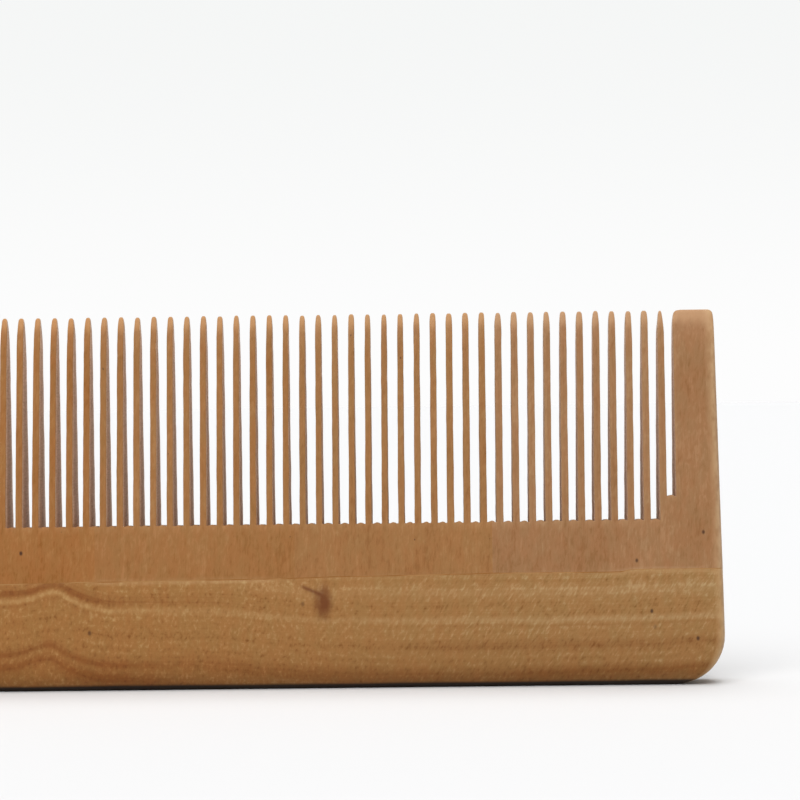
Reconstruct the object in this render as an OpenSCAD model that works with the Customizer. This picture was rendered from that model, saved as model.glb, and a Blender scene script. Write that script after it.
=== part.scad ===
// Fine-tooth beard comb of solid wood: a long-grain spine, and a tooth board of five
// cross-grain staves whose tongues are glued into a groove in the spine.
// Millimetres. The comb stands on its foot at Z = 0 with its teeth up, X runs along its
// length and Y through its thickness. The origin is under the middle of the foot.

/* [Comb] */
// Length along the foot, before the corners are rounded
comb_length = 124.4; // [122:0.1:128]
// Height from the foot to the top of the end guards
comb_height = 47.7; // [47:0.1:49]
// Width of the flat foot that the comb stands on
foot_w = 4.4; // [3.6:0.1:5]

/* [Side profile] */
// Thickness at the roots of the teeth
root_t = 6.6; // [6.5:0.1:7]
// Thickness where the taper ends and the tips begin to round
shoulder_t = 3.3; // [3.1:0.1:3.5]
// Height at which the tips begin to round
shoulder_z = 42; // [41:0.5:43]
// Radius of the tip in the side view
nose_r = 0.3; // [0.2:0.05:0.4]
// Radius of the rounded back
back_r = 4.1; // [3.9:0.05:4.2]
// Radius of the slight swell of the spine's two faces
cheek_r = 90; // [70:5:120]

/* [Teeth] */
// Number of teeth between the two end guards
tooth_count = 53; // [51:1:55]
// Distance from one tooth to the next
tooth_pitch = 2.1; // [2:0.02:2.14]
// Width of a tooth
tooth_w = 0.86; // [0.7:0.02:1]
// How far the tips lie below the top of the guards
tip_drop = 0.2; // [0.1:0.05:0.5]
// Height of the floors of the gaps
root_z = 21; // [20:0.5:23]
// How much higher the floor of the gap beside each guard is
end_gap_rise = 3; // [0.5:0.5:5]
// Height of the ridge that the saw leaves along each floor
gap_ridge = 0.2; // [0.1:0.05:0.4]

/* [Staves] */
// Number of teeth on a full stave
teeth_per_stave = 12; // [11:1:12]
// Height of the visible joint between the board and the spine
joint_z = 14.2; // [13:0.1:15]
// Thickness of the tongue along the bottom of the staves
tongue_t = 3.2; // [2.6:0.1:3.6]
// Depth that the tongue reaches into the spine
tongue_depth = 7.5; // [6:0.1:8]
// Room for glue under the tongue
glue_room = 0.2; // [0.1:0.05:0.5]

/* [Ends] */
// Radius of the two bottom corners
corner_r = 5.4; // [4:0.1:6]
// Angle at which the ends lean in towards the top
end_lean = 1.15; // [0.5:0.05:1.5]
// Radius of the crown across each end
crown_r = 10; // [8:1:16]
// Width of the flat strip down the middle of each end
end_flat = 2; // [1.5:0.1:2.4]
// Radius of the top corners of the guards
guard_r = 0.6; // [0.4:0.05:0.9]

/* [Hidden] */
$fn = 72;

spine_wood = "#9a6b3d";
light_stave = "#a27649";
dark_stave = "#9b6f44";

stave_count = 5;
overshoot = 1;
gap_w = tooth_pitch - tooth_w;
tip_z = comb_height - tip_drop;
tongue_z = joint_z - tongue_depth;
groove_z = tongue_z - glue_room;
half_length = comb_length / 2;

// The straight taper of the two faces, and the half thickness that it gives at a height
taper = atan((root_t - shoulder_t) / 2 / (shoulder_z - root_z));
function taper_half(z) = root_t / 2 - (z - root_z) * tan(taper);

// The rounded back is one circle, cut off flat by the foot
back_z = sqrt(pow(back_r, 2) - pow(foot_w / 2, 2));

// The swelled cheek is an arc that touches both the circle of the back and the taper
back_to_taper = taper_half(back_z) * cos(taper);
cheek_rise = sqrt((back_to_taper - back_r) * (2 * cheek_r - back_r - back_to_taper));
cheek_y = (back_to_taper - cheek_r) * cos(taper) - cheek_rise * sin(taper);
cheek_z = back_z + (back_to_taper - cheek_r) * sin(taper) + cheek_rise * cos(taper);
cheek_bottom = back_z + back_r * (back_z - cheek_z) / (cheek_r - back_r);
joint_half = cheek_y + sqrt(pow(cheek_r, 2) - pow(joint_z - cheek_z, 2));

// The tip is an arc on each side, touching the taper at the shoulder and the nose circle
nose_z = comb_height - nose_r;
nose_rise = nose_z - shoulder_z;
tip_room = shoulder_t / 2 * cos(taper) - nose_rise * sin(taper) - nose_r;
tip_r = (pow(shoulder_t / 2, 2) + pow(nose_rise, 2) - pow(nose_r, 2)) / (2 * tip_room);
tip_arc_y = shoulder_t / 2 - tip_r * cos(taper);
tip_arc_z = shoulder_z - tip_r * sin(taper);
nose_top = nose_z + nose_r * (nose_z - tip_arc_z) / (tip_r - nose_r);

// Where the leaning end is at a height, and the centre of its rounded bottom corner
function end_x(z) = half_length - z * tan(end_lean);
corner_x = half_length - corner_r * (tan(end_lean) + 1 / cos(end_lean));

// Gap j lies to the left of tooth j, and gap tooth_count beside the right guard
function gap_x(j) = (j - tooth_count / 2) * tooth_pitch;
function tooth_x(i) = gap_x(i) + tooth_pitch / 2;
function gap_floor(j) = root_z + (j == 0 || j == tooth_count ? end_gap_rise : 0);

// The staves are counted from the left, and the last has one tooth less for its guard
function first_tooth(k) =
    k == 0 ? 0 : tooth_count + 1 - (stave_count - k) * teeth_per_stave;
function last_tooth(k) = k == stave_count - 1 ? tooth_count - 1 : first_tooth(k + 1) - 1;
function seam_x(k) =
    k == 0 ? -half_length - overshoot
    : k == stave_count ? half_length + overshoot
    : gap_x(first_tooth(k));

// Part of a side view between two heights
module height_band(z_low, z_high) {
    translate([-back_r * 2, z_low])
        square([back_r * 4, z_high - z_low]);
}

// The two mirrored arcs of a pair of faces, as one lens
module lens(arc_y, arc_z, arc_r) {
    intersection() {
        translate([arc_y, arc_z])
            circle(arc_r, $fn = 360);
        translate([-arc_y, arc_z])
            circle(arc_r, $fn = 360);
    }
}

// The back and cheeks of the comb seen from its end, up to the joint
module back_side() {
    intersection() {
        translate([0, back_z])
            circle(back_r);
        height_band(0, cheek_bottom);
    }
    intersection() {
        lens(cheek_y, cheek_z, cheek_r);
        height_band(cheek_bottom, joint_z);
    }
}

// The blade above the joint seen from its end: the taper and the rounded tip
module blade_side() {
    polygon([
        [-joint_half, joint_z],
        [joint_half, joint_z],
        [shoulder_t / 2, shoulder_z],
        [-shoulder_t / 2, shoulder_z],
    ]);
    intersection() {
        lens(tip_arc_y, tip_arc_z, tip_r);
        height_band(shoulder_z, nose_top);
    }
    intersection() {
        translate([0, nose_z])
            circle(nose_r);
        height_band(nose_top, comb_height + overshoot);
    }
}

// The spine seen from its end, with the groove down its top
module spine_side() {
    difference() {
        back_side();
        translate([-tongue_t / 2, groove_z])
            square([tongue_t, comb_height]);
    }
}

// A stave seen from its end: the tapering blade and the tongue under it
module stave_side() {
    blade_side();
    translate([-tongue_t / 2, tongue_z])
        square([tongue_t, tongue_depth]);
}

// The spine seen from the front, with its two rounded corners
module spine_front() {
    polygon([
        [-corner_x, 0],
        [corner_x, 0],
        [corner_x + corner_r * cos(end_lean), corner_r * (1 + sin(end_lean))],
        [end_x(joint_z), joint_z],
        [-end_x(joint_z), joint_z],
        [-corner_x - corner_r * cos(end_lean), corner_r * (1 + sin(end_lean))],
    ]);
    for (side = [-1, 1])
        translate([side * corner_x, corner_r])
            circle(corner_r);
}

// One tooth from the front, sunk into the board below it
module tooth_front() {
    translate([-tooth_w / 2, joint_z])
        square([tooth_w, tip_z - tooth_w / 2 - joint_z]);
    translate([0, tip_z - tooth_w / 2])
        circle(tooth_w / 2);
}

// The ridged floor of one gap from the front
module gap_floor_front(floor_z) {
    polygon([
        [-gap_w / 2, joint_z],
        [gap_w / 2, joint_z],
        [gap_w / 2, floor_z],
        [0, floor_z + gap_ridge],
        [-gap_w / 2, floor_z],
    ]);
}

// The right-hand guard from the front, with its two rounded top corners
module guard_front() {
    inner_x = gap_x(tooth_count) + gap_w / 2;
    corner_z = comb_height - guard_r;
    polygon([
        [inner_x, tongue_z],
        [end_x(tongue_z), tongue_z],
        [end_x(corner_z), corner_z],
        [inner_x, corner_z],
    ]);
    translate([inner_x + guard_r, corner_z])
        circle(guard_r);
    translate([end_x(corner_z) - guard_r, corner_z])
        circle(guard_r);
    translate([inner_x + guard_r, joint_z])
        square([end_x(corner_z) - inner_x - 2 * guard_r, comb_height - joint_z]);
}

// Stave k from the front, with its own teeth, gap floors and guard
module stave_front(k) {
    intersection() {
        translate([seam_x(k), 0])
            square([seam_x(k + 1) - seam_x(k), comb_height + overshoot]);
        union() {
            polygon([
                [-gap_x(tooth_count), tongue_z],
                [gap_x(tooth_count), tongue_z],
                [gap_x(tooth_count), root_z - overshoot],
                [-gap_x(tooth_count), root_z - overshoot],
            ]);
            for (i = [first_tooth(k) : last_tooth(k)])
                translate([tooth_x(i), 0])
                    tooth_front();
            for (j = [first_tooth(k) : last_tooth(k) + 1])
                translate([gap_x(j), 0])
                    gap_floor_front(gap_floor(j));
            if (k == 0)
                mirror([1, 0])
                    guard_front();
            if (k == stave_count - 1)
                guard_front();
        }
    }
}

// A side view drawn out along the length, and a front view drawn out through the thickness
module along_length(from_x, to_x) {
    translate([from_x, 0, 0])
        rotate([90, 0, 90])
            linear_extrude(to_x - from_x)
                children();
}

module through_thickness() {
    rotate([90, 0, 0])
        linear_extrude(4 * back_r, center = true)
            children();
}

// The space that the crowned end on one side leaves to the comb
module end_crown(side) {
    crown_x = half_length - sqrt(pow(crown_r, 2) - pow(end_flat / 2, 2));
    translate([side * crown_x, 0, 0])
        rotate([0, -side * end_lean, 0])
            translate([0, 0, -overshoot])
                cylinder(r = crown_r, h = comb_height + 3 * overshoot);
    translate([side > 0 ? -half_length : -crown_x + crown_r / 4, -crown_r, -overshoot])
        cube([half_length + crown_x - crown_r / 4, 2 * crown_r, comb_height + 3 * overshoot]);
}

module spine() {
    color(spine_wood)
        intersection() {
            along_length(-half_length - overshoot, half_length + overshoot)
                spine_side();
            through_thickness()
                spine_front();
            end_crown(-1);
            end_crown(1);
        }
}

module tooth_stave(k) {
    color(k % 2 == 0 ? light_stave : dark_stave)
        intersection() {
            along_length(seam_x(k), seam_x(k + 1))
                stave_side();
            through_thickness()
                stave_front(k);
            if (k == 0)
                end_crown(-1);
            if (k == stave_count - 1)
                end_crown(1);
        }
}

module tooth_stave_1() { tooth_stave(0); }
module tooth_stave_2() { tooth_stave(1); }
module tooth_stave_3() { tooth_stave(2); }
module tooth_stave_4() { tooth_stave(3); }
module tooth_stave_5() { tooth_stave(4); }

spine();
tooth_stave_1();
tooth_stave_2();
tooth_stave_3();
tooth_stave_4();
tooth_stave_5();
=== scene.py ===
"""Fine-tooth beard comb of oiled fruitwood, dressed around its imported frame.

A long-grain spine carries a tooth board of five cross-grain staves, whose tongues are
glued into a groove along the spine. Lengths are in metres in the frame's own axes: X
along the comb, Y through its thickness, Z up from its foot to the tips of its teeth.
"""

import logging
import math
from dataclasses import dataclass
from enum import Enum
from functools import cached_property

import bmesh
import bpy
from mathutils import Matrix, Vector, noise


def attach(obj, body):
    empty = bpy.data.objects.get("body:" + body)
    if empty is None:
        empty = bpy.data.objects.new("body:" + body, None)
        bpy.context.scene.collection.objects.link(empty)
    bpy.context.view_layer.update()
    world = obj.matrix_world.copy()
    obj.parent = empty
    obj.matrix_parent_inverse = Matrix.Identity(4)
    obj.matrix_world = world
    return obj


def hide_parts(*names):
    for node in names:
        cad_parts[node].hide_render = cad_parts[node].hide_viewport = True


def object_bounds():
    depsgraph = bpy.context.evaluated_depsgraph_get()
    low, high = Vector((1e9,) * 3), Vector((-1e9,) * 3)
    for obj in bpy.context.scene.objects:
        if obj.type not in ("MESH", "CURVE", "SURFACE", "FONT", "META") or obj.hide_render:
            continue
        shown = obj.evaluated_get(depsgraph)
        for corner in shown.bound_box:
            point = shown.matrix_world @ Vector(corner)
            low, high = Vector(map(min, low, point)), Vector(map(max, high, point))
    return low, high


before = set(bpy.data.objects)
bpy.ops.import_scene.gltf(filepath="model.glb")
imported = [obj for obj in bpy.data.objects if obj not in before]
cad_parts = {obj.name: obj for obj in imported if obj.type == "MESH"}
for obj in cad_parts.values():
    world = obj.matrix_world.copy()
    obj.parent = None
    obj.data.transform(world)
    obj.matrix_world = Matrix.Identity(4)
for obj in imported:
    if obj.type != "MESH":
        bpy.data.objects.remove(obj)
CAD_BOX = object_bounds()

LOG = logging.getLogger("beard_comb")
MM = 0.001
NEVER = math.inf

Colour = tuple[float, float, float]
Points = tuple[tuple[float, float], ...]
Triple = tuple[float, float, float]
Mark = bmesh.types.BMLayerItem
Value = object  # a shader socket, or the plain number or colour that one takes


def srgb(red: int, green: int, blue: int) -> Colour:
    """Turns a display colour of 0 to 255 into the linear colour that shaders take."""
    shares = (value / 255 for value in (red, green, blue))
    return tuple(s / 12.92 if s <= 0.04045 else ((s + 0.055) / 1.055) ** 2.4 for s in shares)


def hand_noise(*place: float) -> float:
    """Gives a smooth, repeatable number from -1 to 1 for a place, as an uneven hand would.

    Args:
        place: One to three numbers that tell where along the noise to look.

    Returns:
        The number, the same on every run.
    """
    x, y, z = (*place, 0.37, 0.71)[:3]
    return noise.noise(Vector((x, y, z)))


def rounding(distance: float, radius: float) -> float:
    """Gives how far a quarter-round edge falls back at a distance from its outer side.

    Args:
        distance: Distance in from the outer side of the edge.
        radius: Radius of the rounding.

    Returns:
        The fall, from the radius at the outer side to 0 where the rounding ends.
    """
    share = 1 - min(max(distance / radius, 0.0), 1.0)
    return radius * (1 - math.sqrt(1 - share * share))


def along(points: Points, x: float) -> float:
    """Gives the value at an X of a line drawn through a few points, level past its ends.

    Args:
        points: The places along X and the values there, from left to right.
        x: Where to read the line.

    Returns:
        The value there.
    """
    if x <= points[0][0]:
        return points[0][1]
    for (x_0, value_0), (x_1, value_1) in zip(points, points[1:]):
        if x <= x_1:
            return value_0 + (value_1 - value_0) * (x - x_0) / (x_1 - x_0)
    return points[-1][1]


# ---------------------------------------------------------------------------------------
# The comb's shape
# ---------------------------------------------------------------------------------------


@dataclass(frozen=True)
class SideProfile:
    """The comb's half thickness at each height: foot, round back, cheeks, taper and tip.

    Attributes:
        height: Height of the comb.
        foot_half: Half width of the flat that the comb stands on.
        back_radius: Radius of the rounded back over the foot.
        cheek_radius: Radius of the gentle curve from the back to the straight faces.
        root_z: Height of the roots of the teeth.
        root_half: Half thickness there.
        shoulder_z: Height at which the straight faces end.
        shoulder_half: Half thickness there.
        nose_radius: Radius of the tips of the teeth.
        thinnest: Half thickness at the very top.
    """

    height: float
    foot_half: float = 2.2 * MM
    back_radius: float = 4.1 * MM
    cheek_radius: float = 90 * MM
    root_z: float = 21 * MM
    root_half: float = 3.3 * MM
    shoulder_z: float = 42 * MM
    shoulder_half: float = 1.65 * MM
    nose_radius: float = 0.3 * MM
    thinnest: float = 0.11 * MM

    @cached_property
    def taper(self) -> float:
        """Angle of the straight faces."""
        return math.atan((self.root_half - self.shoulder_half) / (self.shoulder_z - self.root_z))

    @cached_property
    def back_z(self) -> float:
        """Height of the middle of the rounded back."""
        return math.sqrt(self.back_radius**2 - self.foot_half**2)

    @cached_property
    def cheek(self) -> tuple[float, float]:
        """Middle of the cheek's arc, which touches the back's circle and the taper."""
        room = self.taper_half(self.back_z) * math.cos(self.taper)
        reach = 2 * self.cheek_radius - self.back_radius - room
        rise = math.sqrt((room - self.back_radius) * reach)
        y = (room - self.cheek_radius) * math.cos(self.taper) - rise * math.sin(self.taper)
        z = (room - self.cheek_radius) * math.sin(self.taper) + rise * math.cos(self.taper)
        return y, self.back_z + z

    @cached_property
    def cheek_span(self) -> tuple[float, float]:
        """Heights between which the face follows the cheek's arc."""
        spare = self.cheek_radius - self.back_radius
        low = self.back_z + self.back_radius * (self.back_z - self.cheek[1]) / spare
        return low, self.cheek[1] + self.cheek_radius * math.sin(self.taper)

    @cached_property
    def tip(self) -> tuple[float, float, float]:
        """Radius and middle of the arc that rounds the taper into the nose."""
        rise = self.height - self.nose_radius - self.shoulder_z
        room = self.shoulder_half * math.cos(self.taper) - rise * math.sin(self.taper)
        reach = self.shoulder_half**2 + rise**2 - self.nose_radius**2
        radius = reach / (2 * (room - self.nose_radius))
        y = self.shoulder_half - radius * math.cos(self.taper)
        return radius, y, self.shoulder_z - radius * math.sin(self.taper)

    def taper_half(self, z: float) -> float:
        """Half thickness that the straight faces would have at a height."""
        return self.root_half - (z - self.root_z) * math.tan(self.taper)

    def half(self, z: float) -> float:
        """Half thickness of the comb at a height.

        Args:
            z: The height.

        Returns:
            The half thickness, from the back, the cheek, the taper or the tip.
        """
        low, high = self.cheek_span
        if z < low:
            return math.sqrt(self.back_radius**2 - (z - self.back_z) ** 2)
        if z < high:
            return self.cheek[0] + math.sqrt(self.cheek_radius**2 - (z - self.cheek[1]) ** 2)
        if z < self.shoulder_z:
            return self.taper_half(z)
        radius, y, middle_z = self.tip
        nose_z = self.height - self.nose_radius
        nose_top = nose_z + self.nose_radius * (nose_z - middle_z) / (radius - self.nose_radius)
        if z < nose_top:
            return y + math.sqrt(radius**2 - (z - middle_z) ** 2)
        return math.sqrt(max(self.nose_radius**2 - (z - nose_z) ** 2, self.thinnest**2))


@dataclass(frozen=True)
class FrontOutline:
    """The comb's ends and its joint line, seen from the front.

    Attributes:
        widest: Distance from the comb's middle to its end where it is longest.
        lean: How far each end leans in towards its top.
        corner_radius: Radius of the bottom corners.
        end_round: Rounding of the faces into the ends.
        end_flat: Share of the thickness that is left at the very end.
        joint_middle: Nominal height of the joint.
        joint_step: How far the joint rises at its step.
        joint_step_x: Where the step is.
        joint_step_run: Half the length of the step.
        joint_line: Places along the joint and its heights there, in millimetres.
        joint_pale: Places along the joint, in millimetres, and how pale its fibres are.
    """

    widest: float
    lean: float = math.radians(1.15)
    corner_radius: float = 6.3 * MM
    end_round: float = 1.35 * MM
    end_flat: float = 0.5
    joint_middle: float = 14.0 * MM
    joint_step: float = 0.25 * MM
    joint_step_x: float = 49.4 * MM
    joint_step_run: float = 0.5 * MM
    joint_line: Points = (
        (-62, 13.55), (-30, 13.72), (-22, 13.86), (-13, 13.86), (-4, 13.98), (2, 14.02),
        (12, 14.2), (33, 14.42), (46, 14.45), (62, 14.5),
    )
    joint_pale: Points = (
        (-62, 0.1), (-20, 0.06), (-15.5, 0.42), (2.5, 0.4), (6, 0.08), (46, 0.12), (50, 0.4),
        (62, 0.35),
    )

    @cached_property
    def corner_x(self) -> float:
        """Distance from the comb's middle to the centre of a bottom corner."""
        return self.widest - self.corner_radius

    def end_x(self, z: float) -> float:
        """Distance from the comb's middle to its end at a height.

        Args:
            z: The height.

        Returns:
            The distance, on the corner's arc or on the leaning end above it.
        """
        turn_z = self.corner_radius * (1 + math.sin(self.lean))
        if z < turn_z:
            drop = self.corner_radius - z
            return self.corner_x + math.sqrt(max(self.corner_radius**2 - drop**2, 0.0))
        turn_x = self.corner_x + self.corner_radius * math.cos(self.lean)
        return turn_x - (z - turn_z) * math.tan(self.lean)

    def end_share(self, from_end: float) -> float:
        """Share of the full thickness that is left at a distance from the end."""
        fall = rounding(from_end, self.end_round) / self.end_round
        return 1 - (1 - self.end_flat) * fall

    def joint_paleness(self, x: float) -> float:
        """Gives how pale the raised fibres along the joint are at an X."""
        return along(self.joint_pale, x / MM)

    def joint_z(self, x: float) -> float:
        """Height of the glued joint, which was planed by hand and wanders a little.

        Args:
            x: Where along the comb.

        Returns:
            The joint's height there.
        """
        wander = 0.05 * hand_noise(x / (6 * MM)) + 0.035 * hand_noise(x / (2.1 * MM), 4.0)
        step = 0.5 + 0.5 * math.tanh((x - self.joint_step_x) / self.joint_step_run)
        return (along(self.joint_line, x / MM) + wander) * MM + self.joint_step * step


@dataclass(frozen=True)
class ToothPlan:
    """How the teeth and the saw cuts between them are laid out.

    Attributes:
        count: How many teeth the comb has.
        pitch: Distance from one tooth to the next.
        width: Nominal width of a tooth at its root.
        full_stave: How many teeth a full stave has.
        floor_z: Height of the saw cuts' floors.
        end_gap_rise: How much higher the floors of the two end cuts are.
        ease: Rounding of the sawn edges.
        floor_fall: How far the floors fall from the front to the back.
        low_z: Height at which low_stray holds.
        high_z: Height at which high_stray holds.
        girth: Places along the comb, in millimetres, and the teeth's share of their width.
        low_stray: Places along the comb and how far the saw strays low down, in millimetres.
        high_stray: The same for high up.
    """

    count: int = 53
    pitch: float = 2.1 * MM
    width: float = 0.86 * MM
    full_stave: int = 12
    floor_z: float = 21 * MM
    end_gap_rise: float = 3 * MM
    ease: float = 0.09 * MM
    floor_fall: float = 0.34 * MM
    low_z: float = 24.5 * MM
    high_z: float = 43 * MM
    girth: Points = (
        (-62, 1.0), (-25, 1.0), (-18, 0.975), (-6, 0.96), (-1, 0.92), (22, 0.92), (27, 1.01),
        (62, 1.03),
    )
    low_stray: Points = (
        (-62, -0.3), (-25.2, -0.38), (-21, -0.25), (-14.7, -0.1), (-8.4, -0.02), (0, 0.06),
        (8.4, 0.09), (31.5, 0.0), (40, -0.11), (46.2, -0.18), (50.4, -0.2), (54.6, -0.27),
        (56.2, -0.31),
    )
    high_stray: Points = (
        (-62, -0.3), (-27.3, -0.24), (-21, -0.11), (-14.7, 0.01), (-8.4, 0.06), (0, 0.13),
        (4.2, 0.17), (21, 0.135), (31.5, 0.05), (40, -0.04), (46.2, -0.09), (50.4, -0.12),
        (54.6, -0.22), (56.2, -0.31),
    )

    @property
    def gap(self) -> float:
        """Width of a saw cut."""
        return self.pitch - self.width

    def gap_x(self, number: int) -> float:
        """Middle of the saw cut to the left of a tooth."""
        return (number - self.count / 2) * self.pitch

    def tooth_x(self, number: int) -> float:
        """Middle of a tooth."""
        return self.gap_x(number) + self.pitch / 2

    def floor(self, number: int) -> float:
        """Height of a saw cut's floor."""
        return self.floor_z + (self.end_gap_rise if number in (0, self.count) else 0.0)

    def girth_share(self, x: float) -> float:
        """Gives a tooth's own width as a share of the nominal one."""
        return along(self.girth, x / MM)

    def stray(self, x: float, z: float) -> float:
        """Gives how far the hand-indexed saw has strayed from even spacing at a place.

        Args:
            x: Where along the comb.
            z: The height, because the saw leaned a little too.

        Returns:
            The distance along X.
        """
        low, high = along(self.low_stray, x / MM), along(self.high_stray, x / MM)
        share = max((z - self.low_z) / (self.high_z - self.low_z), 0.0)
        return (low + (high - low) * share) * MM

    @property
    def guard_inner(self) -> float:
        """Distance from the comb's middle to a guard's inner wall."""
        return self.gap_x(self.count) + self.gap / 2


class Zone(Enum):
    """The part of a stave that a column of vertices belongs to.

    Attributes:
        TOOTH: A tooth, with its root down to the joint.
        GAP: The floor of a saw cut and the wood under it.
        GUARD: The broad guard at one end of the comb.
    """

    TOOTH = "tooth"
    GAP = "gap"
    GUARD = "guard"


@dataclass(frozen=True)
class Column:
    """One upright line of vertices in the front view of a stave.

    Attributes:
        zone: The part of the stave that it belongs to.
        number: The number of its tooth or gap, or -1 or 1 for the side of its guard.
        offset: Distance along X from the middle of the tooth or gap, or from a guard's
            inner wall towards the comb's end.
        edge: Distance from the nearest sawn wall.
        from_end: Distance from the comb's end, for the outer columns of a guard.
    """

    zone: Zone
    number: int
    offset: float
    edge: float = NEVER
    from_end: float = NEVER


class MaterialSlot(Enum):
    """The order of the materials on a wooden piece.

    Attributes:
        FACE: The sanded faces, which every face is before it is marked.
        SAWN: The walls of the saw cuts.
        GLUE: The thin line along the joint.
    """

    FACE = 0
    SAWN = 1
    GLUE = 2


class WoodenPiece:
    """Turns a finished bmesh into a scene object that rides on the comb."""

    def __init__(self, name: str, node: str, slot: str) -> None:
        """Names the piece and the frame's node that it stands for.

        Args:
            name: Name of the new object.
            node: The frame's node that it replaces.
            slot: The record's material slot, not used.
        """
        self.name = name
        self.node = node
        self.slot = slot

    def finish(self, shape: bmesh.types.BMesh, materials: list[bpy.types.Material]) -> None:
        """Makes the object, smooths its curves and ties it to the frame.

        Args:
            shape: The closed shape, which is freed.
            materials: One material for each entry of MaterialSlot that the shape uses.
        """
        bmesh.ops.recalc_face_normals(shape, faces=shape.faces[:])
        mesh = bpy.data.meshes.new(self.name)
        shape.to_mesh(mesh)
        shape.free()
        mesh.shade_smooth()
        mesh.set_sharp_from_angle(angle=math.radians(38))
        for material in materials:
            mesh.materials.append(material)
        piece = bpy.data.objects.new(self.name, mesh)
        bpy.context.scene.collection.objects.link(piece)
        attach(piece, "root")
        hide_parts(self.node)
        LOG.info("%s: %d faces for node %s", self.name, len(mesh.polygons), self.node)


@dataclass(frozen=True)
class ToothStave:
    """One stave of the tooth board: its teeth, its root and the tongue under it.

    Attributes:
        number: The stave's number, from 1 at the left.
        staves: How many staves the board has.
        plan: The layout of the teeth.
        side: The comb's side profile.
        front: The comb's front outline.
        tongue_half: Half thickness of the tongue.
        tongue_z: Height of the tongue's lower edge.
        glue_band: Height of the band of glue that shows above the joint.
        ridge: Places across a saw cut and how far its floor stands up there, in millimetres.
        eased: Distances from a sawn edge at which its rounding has vertices.
        guard_steps: Further distances from a guard's inner wall.
        end_steps: Distances from the comb's end.
        root_steps: Heights of rows above the joint, in millimetres.
        low_steps: Heights of rows above the saw cuts' floors, in millimetres.
        blade_step: Distance between the rows along the teeth.
        tip_rows: Rows of vertices from the shoulder to the tips.
        settle_reach: Height above the joint over which the rows follow its wander.
        floor_reach: Depth under a floor over which the rows follow its shape.
        guard_radius: Rounding of a guard's top corners.
        flare_reach: Height below a guard's top over which its sides draw in.
        flare_inner: How far its inner wall draws in at the top.
        flare_outer: How far its outer end draws in at the top.
        joint_inset: How far the lowest row stands in from the face, which shades the joint.
    """

    number: int
    staves: int
    plan: ToothPlan
    side: SideProfile
    front: FrontOutline
    tongue_half: float = 1.6 * MM
    tongue_z: float = 6.7 * MM
    glue_band: float = 0.12 * MM
    ridge: Points = ((-0.42, 0.04), (-0.22, 0.12), (0.0, 0.2), (0.22, 0.15), (0.42, 0.0))
    eased: tuple[float, ...] = (0.0, 0.03 * MM, 0.09 * MM)
    guard_steps: tuple[float, ...] = (0.3 * MM, 0.8 * MM, 1.5 * MM, 2.3 * MM)
    end_steps: tuple[float, ...] = (
        2.2 * MM, 1.5 * MM, 0.9 * MM, 0.68 * MM, 0.46 * MM, 0.28 * MM, 0.14 * MM, 0.04 * MM, 0.0,
    )
    root_steps: tuple[float, ...] = (0.6, 1.8, 3.2, 4.6, 5.9)
    low_steps: tuple[float, ...] = (0.25, 0.8, 1.5, 2.2)
    blade_step: float = 1.0 * MM
    tip_rows: int = 12
    settle_reach: float = 5 * MM
    floor_reach: float = 0.9 * MM
    guard_radius: float = 0.6 * MM
    flare_reach: float = 2.2 * MM
    flare_inner: float = 0.22 * MM
    flare_outer: float = 0.12 * MM
    joint_inset: float = 0.012 * MM

    @cached_property
    def first(self) -> int:
        """The stave's first tooth."""
        return self.first_tooth(self.number)

    @cached_property
    def end(self) -> int:
        """The first tooth past the stave."""
        return self.first_tooth(self.number + 1)

    def first_tooth(self, number: int) -> int:
        """Gives the first tooth of a stave, or the tooth count past the last stave.

        Args:
            number: The stave's number, from 1 at the left.

        Returns:
            The tooth's number, from 0 at the left.
        """
        if number <= 1:
            return 0
        if number > self.staves:
            return self.plan.count
        return self.plan.count + 1 - (self.staves + 1 - number) * self.plan.full_stave

    def columns(self) -> list[Column]:
        """Lists the stave's columns of vertices from left to right."""
        made: list[Column] = []
        if self.number == 1:
            made += reversed(self.guard_columns(-1))
        for tooth in range(self.first, self.end):
            made += self.gap_columns(tooth, from_seam=tooth == self.first and self.number > 1)
            made += self.tooth_columns(tooth)
        last_stave = self.number == self.staves
        made += self.gap_columns(self.end, to_seam=not last_stave)
        if last_stave:
            made += self.guard_columns(1)
        return made

    def tooth_columns(self, tooth: int) -> list[Column]:
        """Lists one tooth's columns: an eased edge on each side and one down its middle.

        Args:
            tooth: The tooth's number.

        Returns:
            The columns from left to right.
        """
        half = self.plan.width / 2
        left = [Column(Zone.TOOTH, tooth, edge - half, edge) for edge in self.eased]
        right = [Column(Zone.TOOTH, tooth, half - edge, edge) for edge in reversed(self.eased)]
        return [*left, Column(Zone.TOOTH, tooth, 0.0, half), *right]

    def gap_columns(self, gap: int, from_seam: bool = False, to_seam: bool = False) -> list[Column]:
        """Lists one gap's columns, or half of them where the gap's middle is a seam.

        Args:
            gap: The number of the tooth to the gap's right.
            from_seam: Whether the stave begins at the gap's middle.
            to_seam: Whether the stave ends there.

        Returns:
            The columns from left to right.
        """
        made = [Column(Zone.GAP, gap, share * MM) for share, _ in self.ridge]
        middle = len(made) // 2
        if from_seam:
            return made[middle:]
        return made[: middle + 1] if to_seam else made

    def guard_columns(self, side: int) -> list[Column]:
        """Lists one guard's columns from its inner wall to the comb's end.

        Args:
            side: -1 for the left guard, 1 for the right one.

        Returns:
            The columns.
        """
        inner = [Column(Zone.GUARD, side, edge, edge) for edge in (*self.eased, *self.guard_steps)]
        outer = [Column(Zone.GUARD, side, 0.0, NEVER, step) for step in self.end_steps]
        return inner + outer

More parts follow.
